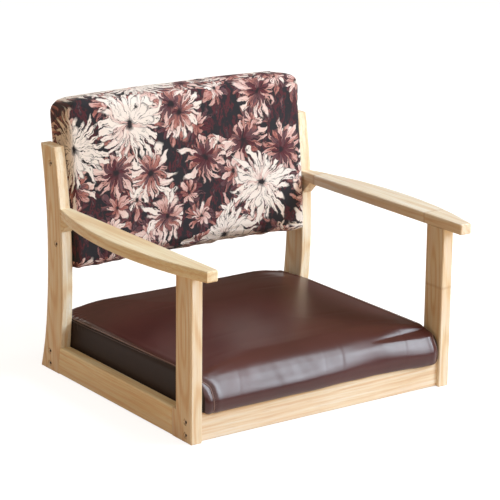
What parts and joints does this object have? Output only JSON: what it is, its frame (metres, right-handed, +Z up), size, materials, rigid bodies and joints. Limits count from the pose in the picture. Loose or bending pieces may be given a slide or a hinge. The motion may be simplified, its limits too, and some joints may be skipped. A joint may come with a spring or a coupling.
{
  "type": "floor chair",
  "caption": "Legless wooden armchair for sitting at floor level, with bowed armrests, a boxed leather seat pad and a printed fabric back pad.",
  "frame": {"origin": "on the floor, at the middle of the chair's box in plan", "axes": "+X to the right of a viewer who faces the chair, +Y to the rear, +Z up"},
  "size_m": [0.586, 0.518, 0.4752],
  "materials": {
    "frame_wood": "clear satin lacquer on pale timber",
    "inner_wood": "raw timber and plywood",
    "bolt_brass": "bronzed plating",
    "steel": "zinc plated",
    "foam": "open-cell cushion foam",
    "dust_cloth": "black non-woven cloth",
    "seat_leather": "smooth glossy dark brown leather",
    "back_fabric": "woven cloth with a dark floral print"
  },
  "bodies": {
    "root": {"left_front_post": "frame_wood", "right_front_post": "frame_wood", "left_rear_post": "frame_wood", "right_rear_post": "frame_wood", "left_armrest": "frame_wood", "right_armrest": "frame_wood", "left_side_rail": "frame_wood", "right_side_rail": "frame_wood", "front_rail": "frame_wood", "rear_rail": "frame_wood", "front_seat_cleat": "inner_wood", "rear_seat_cleat": "inner_wood", "arm_dowels": "inner_wood", "arm_rear_dowels": "inner_wood", "rail_dowels": "inner_wood", "front_rail_bolts": "bolt_brass", "rear_rail_bolts": "bolt_brass", "back_bolts": "bolt_brass", "front_barrel_nuts": "steel", "rear_barrel_nuts": "steel", "back_insert_nuts": "steel", "front_cleat_screws": "steel", "rear_cleat_screws": "steel", "seat_screws": "steel", "seat_board": "inner_wood", "seat_foam": "foam", "seat_dust_cover": "dust_cloth", "seat_top_cover": "seat_leather", "seat_left_band": "seat_leather", "seat_right_band": "seat_leather", "seat_rear_band": "seat_leather", "back_left_stile": "inner_wood", "back_right_stile": "inner_wood", "back_top_rail": "inner_wood", "back_bottom_rail": "inner_wood", "back_frame_dowels": "inner_wood", "back_panel": "inner_wood", "back_front_foam": "foam", "back_rear_foam": "foam", "back_cover": "back_fabric"}
  },
  "joints": []
}
